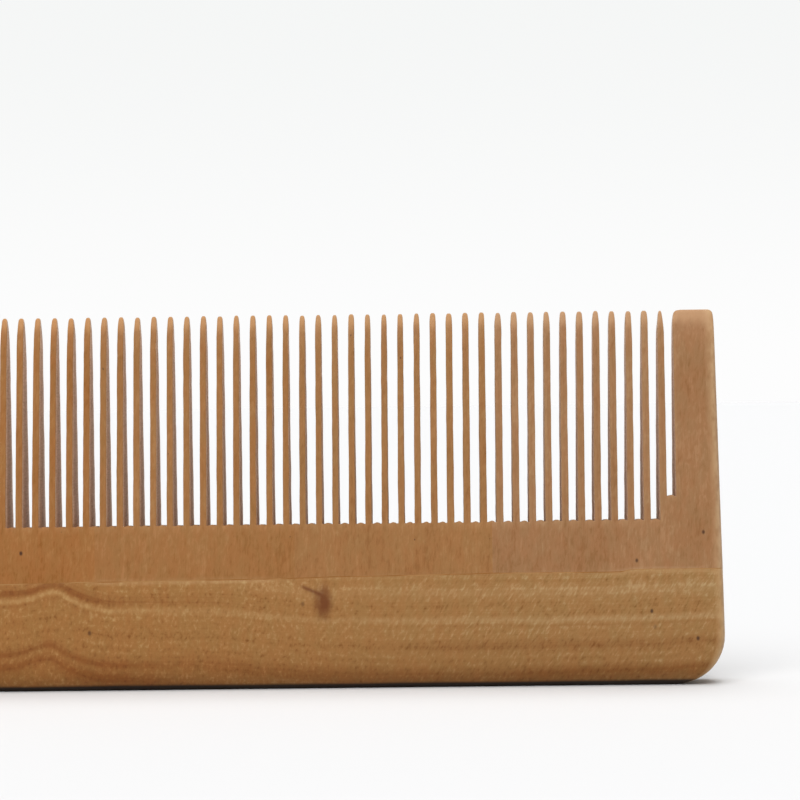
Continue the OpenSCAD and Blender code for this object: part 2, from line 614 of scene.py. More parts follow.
    def rows(self) -> list[float]:
        """Lists the nominal heights of the rows of vertices, from the joint to the top."""
        floor, raised = self.plan.floor_z, self.plan.floor_z + self.plan.end_gap_rise
        joint = self.front.joint_middle
        shoulder, top = self.side.shoulder_z, self.side.height
        root = [joint + self.glue_band, *(joint + step * MM for step in self.root_steps)]
        at_floor = [floor - edge for edge in reversed(self.eased)]
        at_raised = [raised - edge for edge in reversed(self.eased)]
        low_teeth = [floor + step * MM for step in self.low_steps]
        blade_rows = round((shoulder - raised) / self.blade_step)
        blade = [raised + (shoulder - raised) * row / blade_rows for row in range(1, blade_rows + 1)]
        quarter = math.pi / 2 / self.tip_rows
        tip = [
            shoulder + (top - shoulder) * math.sin(quarter * row)
            for row in range(1, self.tip_rows + 1)
        ]
        return [joint, *root, *at_floor, *low_teeth, *at_raised, *blade, *tip]

    def wall_wander(self, wall: float, z: float) -> float:
        """Gives how far a saw cut's wall strays at a height, which no two walls share.

        Args:
            wall: A number of the wall's own.
            z: The height.

        Returns:
            The distance along X.
        """
        return MM * (
            0.035 * hand_noise(z / (3.1 * MM), wall * 900)
            + 0.022 * hand_noise(z / (1.2 * MM), wall * 700, 3.0)
        )

    def floor_shape(self, column: Column) -> float:
        """Gives how far a column's floor stands above the height that the plan gives it.

        Args:
            column: A column that ends on the floor or passes beside it.

        Returns:
            The distance, below 0 where the floor is lower.
        """
        if column.zone is Zone.GAP:
            ridge = {share * MM: rise for share, rise in self.ridge}[column.offset]
            lift = 0.05 * hand_noise(column.number * 3.7, column.offset * 900)
            settled = -0.12 + 0.0018 * self.plan.gap_x(column.number) / MM
            return (ridge + lift + settled) * MM
        return (-0.02 if column.edge == 0.0 else -0.1) * MM

    def tooth_place(self, column: Column, z: float) -> tuple[float, float]:
        """Places a point of a tooth, with its own width, lean and tip.

        Args:
            column: The column that the point is on.
            z: Its nominal height.

        Returns:
            Its X and its height.
        """
        tooth, shoulder = column.number, self.side.shoulder_z
        drop = max(0.06 + 0.1 * hand_noise(tooth * 1.9, 8.0), 0.01) * MM
        tip_z = self.side.height - drop
        if z > shoulder:
            z = shoulder + (z - shoulder) * (tip_z - shoulder) / (self.side.height - shoulder)
        up = (z - self.plan.floor_z) / (tip_z - self.plan.floor_z)
        width = self.plan.girth_share(self.plan.tooth_x(tooth)) - 0.07 * max(up, 0.0)
        width += 0.05 * hand_noise(tooth * 2.3, 1.0)
        last = tooth in (0, self.plan.count - 1)
        length = (3.0 if last else 1.7 + 0.9 * hand_noise(tooth * 3.1, 2.0)) * MM
        narrow = 0.55 if last else 0.26 + 0.18 * hand_noise(tooth * 4.7, 5.0)
        width *= 1 - narrow * max((z - tip_z) / length + 1, 0.0) ** 1.6
        end_share = max((z - tip_z) / (0.34 * MM) + 1, 0.0)
        width *= math.sqrt(max(1 - 0.82 * end_share**2, 0.0))
        x = self.plan.tooth_x(tooth) + column.offset * width
        x += 0.04 * MM * hand_noise(tooth * 5.3, 6.0) * max(up, 0.0)
        x += self.plan.stray(self.plan.tooth_x(tooth), z)
        if z > self.plan.floor_z and column.offset:
            side = math.copysign(1.0, column.offset)
            share_out = min(abs(column.offset) / (self.plan.width / 2), 1.0)
            x += self.wall_wander(tooth + 0.25 * side, z) * share_out
        return x, z

    def guard_place(self, column: Column, z: float) -> tuple[float, float]:
        """Places a point of a guard, with its leaning end and its rounded top corners.

        Args:
            column: The column that the point is on.
            z: Its nominal height.

        Returns:
            Its X and its height.
        """
        radius, top = self.guard_radius, self.side.height
        inside = column.edge if column.from_end is NEVER else column.from_end
        corner = top - 2 * radius
        if z > corner:
            z -= rounding(inside, radius) * (z - corner) / (top - corner)
        flare = max((z - top) / self.flare_reach + 1, 0.0) ** 2
        if column.from_end is NEVER:
            inner_x = column.number * self.plan.guard_inner
            x = self.plan.guard_inner + column.offset + self.flare_inner * flare
            x += column.number * self.plan.stray(inner_x, z)
            if z > self.plan.floor(0):
                x += self.wall_wander(90 + column.number, z) * max(1 - column.offset / MM, 0)
        else:
            x = self.front.end_x(z) - column.from_end - self.flare_outer * flare
        return column.number * x, z

    def place(self, column: Column, nominal_z: float, face: int) -> Vector:
        """Places one vertex of the stave.

        Args:
            column: The column that it is on.
            nominal_z: The height of its row.
            face: -1 on the front of the comb, 1 on the back.

        Returns:
            Its place.
        """
        plan, joint = self.plan, self.front.joint_middle
        thickness = self.side.half(nominal_z)
        if column.zone is Zone.TOOTH:
            x, z = self.tooth_place(column, nominal_z)
        elif column.zone is Zone.GUARD:
            x, z = self.guard_place(column, nominal_z)
        else:
            x, z = plan.gap_x(column.number) + column.offset, nominal_z
            x += plan.stray(plan.gap_x(column.number), z)
        floor = self.floor_near(column)
        if floor - self.floor_reach < nominal_z <= floor:
            lift = self.floor_shape(column) - (plan.floor_fall if face > 0 else 0.0)
            z += lift * (1 - (floor - nominal_z) / self.floor_reach)
        settle = max(1 - (nominal_z - joint) / self.settle_reach, 0.0)
        z += (self.front.joint_z(x) - joint) * settle
        if nominal_z < plan.floor_z - MM:
            thickness = self.side.half(z)
        if nominal_z == joint:
            thickness -= self.joint_inset
        if column.from_end is not NEVER:
            thickness *= self.front.end_share(column.from_end)
        thickness -= rounding(self.edge_distance(column, nominal_z), plan.ease)
        return Vector((x, face * max(thickness, 0.06 * MM), z))

    def floor_near(self, column: Column) -> float:
        """Gives the height of the gap floor that a column of vertices meets.

        Args:
            column: The column.

        Returns:
            The floor's height, the raised one beside and in the two end gaps.
        """
        if column.zone is Zone.GAP:
            return self.plan.floor(column.number)
        if column.zone is Zone.GUARD:
            return self.plan.floor(0)
        end_gap = 0 if column.offset < 0 and column.number == 0 else -1
        if column.offset > 0 and column.number == self.plan.count - 1:
            end_gap = 0
        return self.plan.floor(end_gap)

    def edge_distance(self, column: Column, nominal_z: float) -> float:
        """Gives a point's distance from the nearest sawn edge in the front view.

        Args:
            column: The column that the point is on.
            nominal_z: The height of its row.

        Returns:
            The distance.
        """
        below = self.floor_near(column) - nominal_z
        if column.zone is Zone.GAP:
            return below
        return math.hypot(column.edge, below) if below > 0 else column.edge

    def carve(self) -> bmesh.types.BMesh:
        """Cuts the stave out of a grid, gives it its thickness and adds its tongue."""
        columns, rows = self.columns(), self.rows()
        shape = bmesh.new()
        place_mark = shape.verts.layers.int.new("place")
        arris = shape.verts.layers.float.new("arris")
        grid = (len(columns) - 1, len(rows) - 1)
        bmesh.ops.create_grid(shape, x_segments=grid[0], y_segments=grid[1], size=1.0)
        shape.verts.ensure_lookup_table()
        for index, vertex in enumerate(shape.verts):
            vertex[place_mark] = index
        self.saw_gaps(shape, place_mark, columns, rows)
        grown = bmesh.ops.extrude_face_region(shape, geom=shape.faces[:])
        back = {item for item in grown["geom"] if isinstance(item, bmesh.types.BMVert)}
        for vertex in shape.verts:
            row, column = divmod(vertex[place_mark], len(columns))
            near = self.edge_distance(columns[column], rows[row])
            vertex[arris] = 0.35 * max(1 - near / (2 * self.plan.ease), 0.0)
            # Pale rounded ends: partly rubbed wear, partly a painted highlight where the end turns towards
            # the light.
            if columns[column].from_end is not NEVER:
                share = 1 - columns[column].from_end / self.front.end_round
                vertex[arris] = min(1.5 * max(share, 0.0), 1.0)
            vertex.co = self.place(columns[column], rows[row], 1 if vertex in back else -1)
            if row <= 1 and columns[column].from_end is NEVER:
                vertex[arris] = self.front.joint_paleness(vertex.co.x)
        self.mark_faces(shape, place_mark, len(columns))
        self.add_tongue(shape)
        return shape

    def saw_gaps(self, shape: bmesh.types.BMesh, mark: Mark, columns: list[Column],
                 rows: list[float]) -> None:
        """Removes the grid's faces where the saw has cut between the teeth.

        Args:
            shape: The stave's flat grid.
            mark: The layer that holds each vertex's number in the grid.
            columns: The grid's columns.
            rows: The heights of its rows.
        """
        width = len(columns)
        waste = []
        for face in shape.faces:
            marks = [vertex[mark] for vertex in face.verts]
            low_row = min(marks) // width
            cells = {mark_value % width for mark_value in marks}
            gaps = [columns[cell] for cell in cells if columns[cell].zone is Zone.GAP]
            if gaps and rows[low_row] >= self.plan.floor(gaps[0].number) - 0.001 * MM:
                waste.append(face)
        bmesh.ops.delete(shape, geom=waste, context="FACES")

    def mark_faces(self, shape: bmesh.types.BMesh, mark: Mark, width: int) -> None:
        """Gives the sawn walls and the glue line their own materials.

        Args:
            shape: The stave's shape.
            mark: The layer that holds each vertex's number in the grid.
            width: How many columns the grid has.
        """
        bmesh.ops.recalc_face_normals(shape, faces=shape.faces[:])
        inner = self.plan.guard_inner + 0.3 * MM
        for face in shape.faces:
            middle = face.calc_center_median()
            rows = {vertex[mark] // width for vertex in face.verts}
            across = abs(face.normal.y) < 0.35
            upright = abs(face.normal.z) < 0.6
            if across and upright and abs(middle.x) < inner and middle.z > self.plan.floor_z - MM:
                face.material_index = MaterialSlot.SAWN.value
            elif rows == {0, 1}:
                face.material_index = MaterialSlot.GLUE.value

    def add_tongue(self, shape: bmesh.types.BMesh) -> None:
        """Draws the tongue down out of the middle of the stave's lower side.

        Args:
            shape: The stave's closed shape.
        """
        under = [face for face in shape.faces if face.normal.z < -0.5]
        low = max(vertex.co.z for face in under for vertex in face.verts)
        under = [face for face in under if face.calc_center_median().z <= low]
        for side in (-self.tongue_half, self.tongue_half):
            edges = dict.fromkeys(edge for face in under for edge in face.edges)
            corners = dict.fromkeys(corner for face in under for corner in face.verts)
            cut = bmesh.ops.bisect_plane(
                shape, geom=[*under, *edges, *corners], dist=0.001 * MM,
                plane_co=(0, side, 0), plane_no=(0, 1, 0),
            )
            under = [item for item in cut["geom"] if isinstance(item, bmesh.types.BMFace)]
        middle = [f for f in under if abs(f.calc_center_median().y) < self.tongue_half]
        drawn = bmesh.ops.extrude_face_region(shape, geom=middle)
        bmesh.ops.delete(shape, geom=middle, context="FACES")
        for item in drawn["geom"]:
            if isinstance(item, bmesh.types.BMVert):
                item.co.z = self.tongue_z
        for vertex in shape.verts:
            if vertex.co.z < self.tongue_z + 0.01 * MM and abs(vertex.co.x) > self.plan.guard_inner:
                spread = abs(vertex.co.x) - self.plan.guard_inner
                room = self.front.end_x(self.front.joint_z(vertex.co.x)) - self.plan.guard_inner
                end = self.front.end_x(self.tongue_z) - self.plan.guard_inner
                vertex.co.x = math.copysign(self.plan.guard_inner + spread * end / room, vertex.co.x)

    def build(self, materials: list[bpy.types.Material]) -> None:
        """Carves the stave and places it in the scene.

        Args:
            materials: Its materials, in the order of MaterialSlot.
        """
        piece = WoodenPiece(
            f"stave_{self.number}_carved", f"tooth_stave_{self.number}", "stave_wood"
        )
        piece.finish(self.carve(), materials)


@dataclass(frozen=True)
class Spine:
    """The long-grain bar under the teeth, with its rounded back and its groove.

    Attributes:
        side: The comb's side profile.
        front: The comb's front outline.
        groove_half: Half width of the groove.
        groove_z: Height of the groove's floor.
        heights: Heights of the rows of vertices below the groove, in millimetres.
        lip_shares: Where the rows beside the groove lie, between its floor and the joint.
        end_steps: Distances of cross-sections from the comb's end, in millimetres.
        station_step: Distance between the other cross-sections.
        lip_ease: Rounding of the edge at the joint.
    """

    side: SideProfile
    front: FrontOutline
    groove_half: float = 1.6 * MM
    groove_z: float = 6.5 * MM
    heights: tuple[float, ...] = (
        0.0, 0.1, 0.25, 0.45, 0.7, 1.0, 1.35, 1.75, 2.2, 2.7, 3.3, 4.0, 4.7, 5.5,
    )
    lip_shares: tuple[float, ...] = (0.2, 0.4, 0.6, 0.8, 0.93, 0.97)
    end_steps: tuple[float, ...] = (0.0, 0.04, 0.12, 0.25, 0.42, 0.62, 0.9, 1.4, 2.2, 3.5, 5.5, 8.0)
    station_step: float = 1.05 * MM
    lip_ease: float = 0.015 * MM

    @cached_property
    def inner_x(self) -> float:
        """Distance from the comb's middle to where the end sections begin."""
        return self.front.widest - self.end_steps[-1] * MM

    def stations(self) -> list[tuple[int, float]]:
        """Lists the cross-sections as a side and a distance from the end, or 0 and an X."""
        left = [(-1, step * MM) for step in self.end_steps]
        count = round(2 * self.inner_x / self.station_step)
        middle = [(0, self.inner_x * (2 * i / count - 1)) for i in range(1, count)]
        return [*left, *middle, *((1, step) for _, step in reversed(left))]

    def rows(self) -> list[tuple[float, float]]:
        """Lists the rows as a height and a share of the way from there to the joint."""
        low = [(z * MM, 0.0) for z in self.heights]
        lips = [(self.groove_z, share) for share in (0.0, *self.lip_shares)]
        return [*low, *lips, (self.groove_z, 1.0), (self.groove_z, 1.0)]

    def place(self, station: tuple[int, float], row: int, column: int) -> Vector:
        """Places one vertex of the spine.

        Args:
            station: Its cross-section.
            row: The number of its row, from the foot up.
            column: 0 and 3 on the outer faces, 1 and 2 on the groove's walls.

        Returns:
            Its place.
        """
        end_side, distance = station
        rows = self.rows()
        base, share = rows[row]
        reach = distance if end_side == 0 else end_side * self.inner_x
        z = base + (self.front.joint_z(reach) - base) * share
        if row == len(rows) - 2:
            z -= self.lip_ease
        x, left = reach, 1.0
        if end_side:
            near = 1 - distance / (self.end_steps[-1] * MM)
            x = end_side * (self.inner_x + (self.front.end_x(z) - self.inner_x) * near)
            z = base + (self.front.joint_z(x) - base) * share
            z -= self.lip_ease if row == len(rows) - 2 else 0.0
            left = self.front.end_share(distance)
        outer = self.side.half(z) * left
        if row == len(rows) - 1:
            outer -= self.lip_ease
        inner = min(self.groove_half, 0.72 * outer)
        y = (-outer, -inner, inner, outer)[column]
        return Vector((x, y, z))

    def carve(self) -> bmesh.types.BMesh:
        """Draws the grooved cross-section along the comb and shapes every section."""
        stations, rows = self.stations(), self.rows()
        shape = bmesh.new()
        place_mark = shape.verts.layers.int.new("place")
        station_mark = shape.verts.layers.int.new("station")
        arris = shape.verts.layers.float.new("arris")
        bmesh.ops.create_grid(shape, x_segments=3, y_segments=len(rows) - 1, size=1.0)
        shape.verts.ensure_lookup_table()
        for index, vertex in enumerate(shape.verts):
            vertex[place_mark] = index
        groove_row = next(i for i, (z, _) in enumerate(rows) if z == self.groove_z)
        groove = [f for f in shape.faces if self.in_groove(f, place_mark, groove_row)]
        bmesh.ops.delete(shape, geom=groove, context="FACES")
        section = shape.faces[:]
        for number in range(1, len(stations)):
            grown = bmesh.ops.extrude_face_region(shape, geom=section)["geom"]
            if number > 1:
                bmesh.ops.delete(shape, geom=section, context="FACES")
            section = [item for item in grown if isinstance(item, bmesh.types.BMFace)]
            for item in grown:
                if isinstance(item, bmesh.types.BMVert):
                    item[station_mark] = number
        for vertex in shape.verts:
            row, column = divmod(vertex[place_mark], 4)
            station = stations[vertex[station_mark]]
            vertex.co = self.place(station, row, column)
            if row >= len(rows) - 3:
                vertex[arris] = self.front.joint_paleness(vertex.co.x)
            # Pale rounded ends: partly rubbed wear, partly a painted highlight where the end turns towards
            # the light.
            if station[0]:
                end_pale = min(1.5 * max(1 - station[1] / self.front.end_round, 0.0), 1.0)
                vertex[arris] = max(end_pale, vertex[arris])
        return shape

    @staticmethod
    def in_groove(face: bmesh.types.BMFace, mark: Mark, groove_row: int) -> bool:
        """Tells whether a face of the section lies where the groove is cut."""
        places = [divmod(vertex[mark], 4) for vertex in face.verts]
        return {column for _, column in places} == {1, 2} and min(places)[0] >= groove_row

    def build(self, materials: list[bpy.types.Material]) -> None:
        """Carves the spine and places it in the scene."""
        WoodenPiece("spine_carved", "spine", "spine_wood").finish(self.carve(), materials)


# ---------------------------------------------------------------------------------------
# Finishes
# ---------------------------------------------------------------------------------------


class Graph:
    """Adds and links the nodes of one shader tree."""

    def __init__(self, tree: bpy.types.NodeTree) -> None:
        """Keeps the tree that the nodes go in."""
        self.tree = tree

    def add(self, kind: str, **settings: object) -> bpy.types.Node:
        """Adds a node and sets its own properties.

        Args:
            kind: The node's type, without its first word.
            settings: The properties by name.

        Returns:
            The node.
        """
        node = self.tree.nodes.new(f"ShaderNode{kind}")
        for name, value in settings.items():
            setattr(node, name, value)
        return node

    def feed(self, socket: bpy.types.NodeSocket, value: Value) -> None:
        """Links a socket to another one, or gives it a plain value.

        Args:
            socket: The input.
            value: What it takes.
        """
        if isinstance(value, bpy.types.NodeSocket):
            self.tree.links.new(value, socket)
        elif isinstance(value, tuple) and len(value) == 3 and socket.type == "RGBA":
            socket.default_value = (*value, 1.0)
        else:
            socket.default_value = value

    def maths(self, operation: str, *values: Value, clamp: bool = False) -> bpy.types.NodeSocket:
        """Adds a Math node.

        Args:
            operation: What it does.
            values: Its inputs.
            clamp: Whether the result is held between 0 and 1.

        Returns:
            The result.
        """
        node = self.add("Math", operation=operation, use_clamp=clamp)
        for socket, value in zip(node.inputs, values):
            self.feed(socket, value)
        return node.outputs[0]

    def placed(self, vector: Value, scale: Triple = (1, 1, 1), turn: Triple = (0, 0, 0),
               move: Triple = (0, 0, 0)) -> bpy.types.NodeSocket:
        """Adds a Mapping node.

        Args:
            vector: The place to map.
            scale: How much finer the pattern gets along each axis.
            turn: The turn about each axis, in degrees.
            move: The move along each axis, after the scale and the turn.

        Returns:
            The mapped place.
        """
        node = self.add("Mapping", vector_type="POINT")
        self.feed(node.inputs["Vector"], vector)
        node.inputs["Scale"].default_value = scale
        node.inputs["Rotation"].default_value = tuple(math.radians(angle) for angle in turn)
        node.inputs["Location"].default_value = move
        return node.outputs[0]

    def noise(self, vector: Value, detail: float = 2.0, rough: float = 0.5,
              twist: float = 0.0) -> bpy.types.NodeSocket:
        """Adds a Noise node on a vector, or on one number where the value isn't a vector.

        Args:
            vector: The place, already scaled.
            detail: How many finer layers it adds.
            rough: How strong the finer layers are.
            twist: How far the pattern is distorted.

        Returns:
            The noise, from about 0.2 to 0.8 with its middle at 0.5.
        """
        line = isinstance(vector, bpy.types.NodeSocket) and vector.type == "VALUE"
        node = self.add("TexNoise", noise_dimensions="1D" if line else "3D")
        self.feed(node.inputs["W" if line else "Vector"], vector)
        node.inputs["Scale"].default_value = 1.0
        node.inputs["Detail"].default_value = detail
        node.inputs["Roughness"].default_value = rough
        node.inputs["Distortion"].default_value = twist
        return node.outputs["Fac"]

    def swing(self, noise: Value, share: float, about: Value) -> bpy.types.NodeSocket:
        """Adds a share of a noise to a value, so that the noise swings about it."""
        return self.maths("MULTIPLY_ADD", self.maths("SUBTRACT", noise, 0.5), share, about)

    def ranged(self, value: Value, low: float, high: float, to_low: float = 0.0,
               to_high: float = 1.0) -> bpy.types.NodeSocket:
        """Adds a smooth Map Range node.

        Args:
            value: What is mapped.
            low: Where the change begins.
            high: Where it ends.
            to_low: The result up to its beginning.
            to_high: The result past its end.

        Returns:
            The result.
        """
        node = self.add("MapRange", interpolation_type="SMOOTHSTEP")
        for socket, item in zip(node.inputs, (value, low, high, to_low, to_high)):
            self.feed(socket, item)
        return node.outputs[0]

    def mixed(self, share: Value, first: Value, second: Value,
              blend: str = "MIX") -> bpy.types.NodeSocket:
        """Adds a colour Mix node.

        Args:
            share: How much of the second colour comes in.
            first: The first colour.
            second: The second colour.
            blend: How they blend.

        Returns:
            The blend.
        """
        node = self.add("Mix", data_type="RGBA", blend_type=blend)
        self.feed(node.inputs[0], share)
        self.feed(node.inputs[6], first)
        self.feed(node.inputs[7], second)
        return node.outputs[2]

    def bump_at(self, value: Value, middle: float, width: float) -> bpy.types.NodeSocket:
        """Gives 1 where a value is at a middle, falling to 0 on both sides like a bell.

        Args:
            value: The value.
            middle: Where the bell stands.
            width: How far from its middle it has fallen to about a third.

        Returns:
            The bell.
        """
        away = self.maths("DIVIDE", self.maths("SUBTRACT", value, middle), width)
        square = self.maths("MULTIPLY", away, away)
        return self.maths("EXPONENT", self.maths("MULTIPLY", square, -1.0))

    def comb_place(self) -> bpy.types.NodeSocket:
        """Gives the place on the comb in millimetres."""
        place = self.add("TexCoord").outputs["Object"]
        node = self.add("VectorMath", operation="SCALE")
        self.feed(node.inputs[0], place)
        node.inputs["Scale"].default_value = 1 / MM
        return node.outputs[0]


class SharedEffects:
    """The shader groups that more than one wood uses, each built once."""

    def __init__(self) -> None:
        """Builds the groups."""
        self.fibres = self.build_fibres()
        self.pores = self.build_pores()
        self.worn_and_highlit_edges = self.build_worn_and_highlit_edges()

    @staticmethod
    def new_group(name: str, inputs: dict[str, str], outputs: dict[str, str]) -> tuple[
            bpy.types.NodeTree, Graph, bpy.types.Node, bpy.types.Node]:
        """Makes an empty group with its sockets.

        Args:
            name: The group's name.
            inputs: Socket types by input name.
            outputs: Socket types by output name.

        Returns:
            The group, its graph, and its input and output nodes.
        """
        tree = bpy.data.node_groups.new(name, "ShaderNodeTree")
        for direction, sockets in (("INPUT", inputs), ("OUTPUT", outputs)):
            for socket, kind in sockets.items():
                tree.interface.new_socket(name=socket, in_out=direction, socket_type=f"NodeSocket{kind}")
        start, end = tree.nodes.new("NodeGroupInput"), tree.nodes.new("NodeGroupOutput")
        return tree, Graph(tree), start, end

    def build_fibres(self) -> bpy.types.NodeTree:
        """Long streaks along the grain, which runs along X of the grain place."""
        tree, graph, start, end = self.new_group(
            "wood_fibres", {"Grain Place": "Vector"}, {"Streaks": "Float", "Fine": "Float"}
        )
        place = start.outputs["Grain Place"]
        broad = graph.noise(graph.placed(place, (0.03, 0.75, 0.75)), 2.0, 0.55, 0.2)
        middle = graph.noise(graph.placed(place, (0.07, 2.6, 2.6)), 2.0, 0.6)
        fine = graph.noise(graph.placed(place, (0.35, 7.5, 7.5)), 2.0, 0.6)
        streaks = graph.maths("MULTIPLY_ADD", middle, 0.5, graph.maths("MULTIPLY", broad, 0.5))
        graph.feed(end.inputs["Streaks"], streaks)
        graph.feed(end.inputs["Fine"], fine)
        return tree

    def build_pores(self) -> bpy.types.NodeTree:
        """Short dark vessels along the grain and a few round worm-like specks."""
        tree, graph, start, end = self.new_group(
            "wood_pores", {"Grain Place": "Vector"}, {"Vessels": "Float", "Specks": "Float"}
        )
        place = start.outputs["Grain Place"]
        vessels = graph.noise(graph.placed(place, (1.1, 8.0, 8.0)), 1.0, 0.5)
        specks = graph.noise(graph.placed(place, (1.3, 2.3, 2.3), move=(3.1, 0.4, 7.7)), 0.0)
        graph.feed(end.inputs["Vessels"], graph.ranged(vessels, 0.60, 0.74))
        graph.feed(end.inputs["Specks"], graph.ranged(specks, 0.885, 0.91))
        return tree

    def build_worn_and_highlit_edges(self) -> bpy.types.NodeTree:
        """Paler wood along the rounded edges: rubbed by hands and sanding, and at the comb's rounded ends
        partly a painted highlight.
        """
        tree, graph, start, end = self.new_group(
            "edges_worn_and_highlit",
            {"Colour": "Color", "Pale": "Color", "Amount": "Float", "Place": "Vector"},
            {"Colour": "Color", "Rub And Highlight": "Float"},
        )
        arris = graph.add("Attribute", attribute_name="arris", attribute_type="GEOMETRY").outputs["Fac"]
        patchy = graph.noise(graph.placed(start.outputs["Place"], (0.9, 0.9, 0.5)), 2.0, 0.6)
        rub_and_highlight_share = graph.maths("MULTIPLY", arris, graph.ranged(patchy, 0.3, 0.62, 0.45, 1.0))
        rub_and_highlight_share = graph.maths("MULTIPLY", rub_and_highlight_share, start.outputs["Amount"], clamp=True)
        graph.feed(end.inputs["Colour"], graph.mixed(rub_and_highlight_share, start.outputs["Colour"], start.outputs["Pale"]))
        graph.feed(end.inputs["Rub And Highlight"], rub_and_highlight_share)
        return tree


@dataclass(frozen=True)
class WoodFinish:
    """The colours and surface of one piece of oiled fruitwood.

    Attributes:
        name: Name of the material.
        dark: Colour of its darkest streaks.
        body: Colour of most of it.
        light: Colour of its palest streaks.
        pale_edge: Colour of its rounded edges.
        tip_highlight_colour: Colour of the painted highlight on the upturned tips, on the staves.
        rough: Roughness of its surface.
        edge_wear_and_highlight: How strongly the edges are paler, from wear and, at the rounded ends, from
            a painted highlight.
        bump: Strength of its fine relief.
        shift: How far its pattern is moved, so that no two pieces are alike.
        pits: Open pits on its front as X, Z and strength, in millimetres.
    """

    name: str
    dark: Colour
    body: Colour
    light: Colour
    pale_edge: Colour
    tip_highlight_colour: Colour = (0.0, 0.0, 0.0)
    rough: float = 0.5
    edge_wear_and_highlight: float = 0.9
    bump: float = 0.12
    shift: float = 0.0
    pits: tuple[Triple, ...] = ()


class WoodMaterial:
    """Common parts of the wood materials: groups, shader and surface.

    Attributes:
        REDDER: Tint of the redder patches.
        GREENER: Tint of the greener ones.
        PIT: Colour of the open pits.
    """

    REDDER = (1.02, 0.98, 0.96)
    GREENER = (0.98, 1.02, 1.03)
    PIT = srgb(58, 30, 12)

    def __init__(self, finish: WoodFinish, effects: SharedEffects) -> None:
        """Starts an empty material.

        Args:
            finish: The colours and surface.
            effects: The shared shader groups.
        """
        self.finish = finish
        self.effects = effects
        self.material = bpy.data.materials.new(finish.name)
        self.material.use_nodes = True
        self.material.node_tree.nodes.clear()
        self.graph = Graph(self.material.node_tree)
        self.place = self.graph.comb_place()

    def group(self, tree: bpy.types.NodeTree, **inputs: Value) -> bpy.types.Node:
        """Places a shared group in the material and feeds it.

        Args:
            tree: The group.
            inputs: Its inputs, each under its name in small letters with underscores.

        Returns:
            The group's node.
        """
        node = self.graph.add("Group", node_tree=tree)
        for name, value in inputs.items():
            self.graph.feed(node.inputs[name.replace("_", " ").title()], value)
        return node

    def toned(self, tone: Value) -> bpy.types.NodeSocket:
        """Turns a tone from 0 to 1 into the finish's dark, body and light wood.

        Args:
            tone: The tone.

        Returns:
            The colour.
        """
        low = self.graph.ranged(tone, 0.0, 0.5)
        high = self.graph.ranged(tone, 0.5, 1.0)
        first = self.graph.mixed(low, self.finish.dark, self.finish.body)
        return self.graph.mixed(high, first, self.finish.light)

    def warmed(self, colour: Value) -> bpy.types.NodeSocket:
        """Lets the wood drift between a redder and a greener brown from place to place.

        Args:
            colour: The wood's colour.

        Returns:
            The tinted colour.
        """
        graph = self.graph
        blotch = graph.noise(graph.placed(self.place, (0.75, 0.6, 0.3), move=(4, 0, 9)), 2.0, 0.6)
        tint = graph.mixed(graph.ranged(blotch, 0.32, 0.68), self.REDDER, self.GREENER)
        return graph.mixed(1.0, colour, tint, "MULTIPLY")

    def with_pits(self, colour: Value) -> bpy.types.NodeSocket:
        """Adds the few open pits on the front face, each a little taller than wide.

        Args:
            colour: The wood's colour.

        Returns:
            The colour with the pits in it.
        """
        graph = self.graph
        total: Value = 0.0
        for number, (pit_x, pit_z, strength) in enumerate(self.finish.pits):
            size = 3.0 + 0.9 * hand_noise(number * 4.1 + self.finish.shift, 9.0)
            scale = (size * 1.35, 0.0, size)
            here = graph.placed(self.place, scale, move=(-pit_x * scale[0], 0, -pit_z * scale[2]))
            length = graph.add("VectorMath", operation="LENGTH")
            graph.feed(length.inputs[0], here)
            spot = graph.ranged(length.outputs["Value"], 0.3, 1.3, strength, 0.0)
            total = graph.maths("MAXIMUM", total, spot)
        axes = graph.add("SeparateXYZ")
        graph.feed(axes.inputs[0], self.place)
        front = graph.ranged(axes.outputs["Y"], -2.5, 0.0, 1.0, 0.0)
        return graph.mixed(graph.maths("MULTIPLY", total, front), colour, self.PIT)

    def surface(self, colour: Value, height: Value, roughness: Value) -> bpy.types.Material:
        """Adds the shader under the colour, the height and the roughness.

        Args:
            colour: The wood's colour.
            height: The height of its relief, from 0 to 1.
            roughness: Its roughness.

        Returns:
            The finished material.
        """
        graph = self.graph
        shader = graph.add("BsdfPrincipled")
        bump = graph.add("Bump")
        bump.inputs["Strength"].default_value = self.finish.bump
        bump.inputs["Distance"].default_value = 0.05 * MM
        graph.feed(bump.inputs["Height"], height)
        graph.feed(shader.inputs["Normal"], bump.outputs[0])
        graph.feed(shader.inputs["Base Color"], colour)
        graph.feed(shader.inputs["Roughness"], roughness)
        shader.inputs["Specular IOR Level"].default_value = 0.22
        shader.inputs["Coat Weight"].default_value = 0.02
        shader.inputs["Coat Roughness"].default_value = 0.35
        graph.feed(graph.add("OutputMaterial").inputs["Surface"], shader.outputs[0])
        return self.material


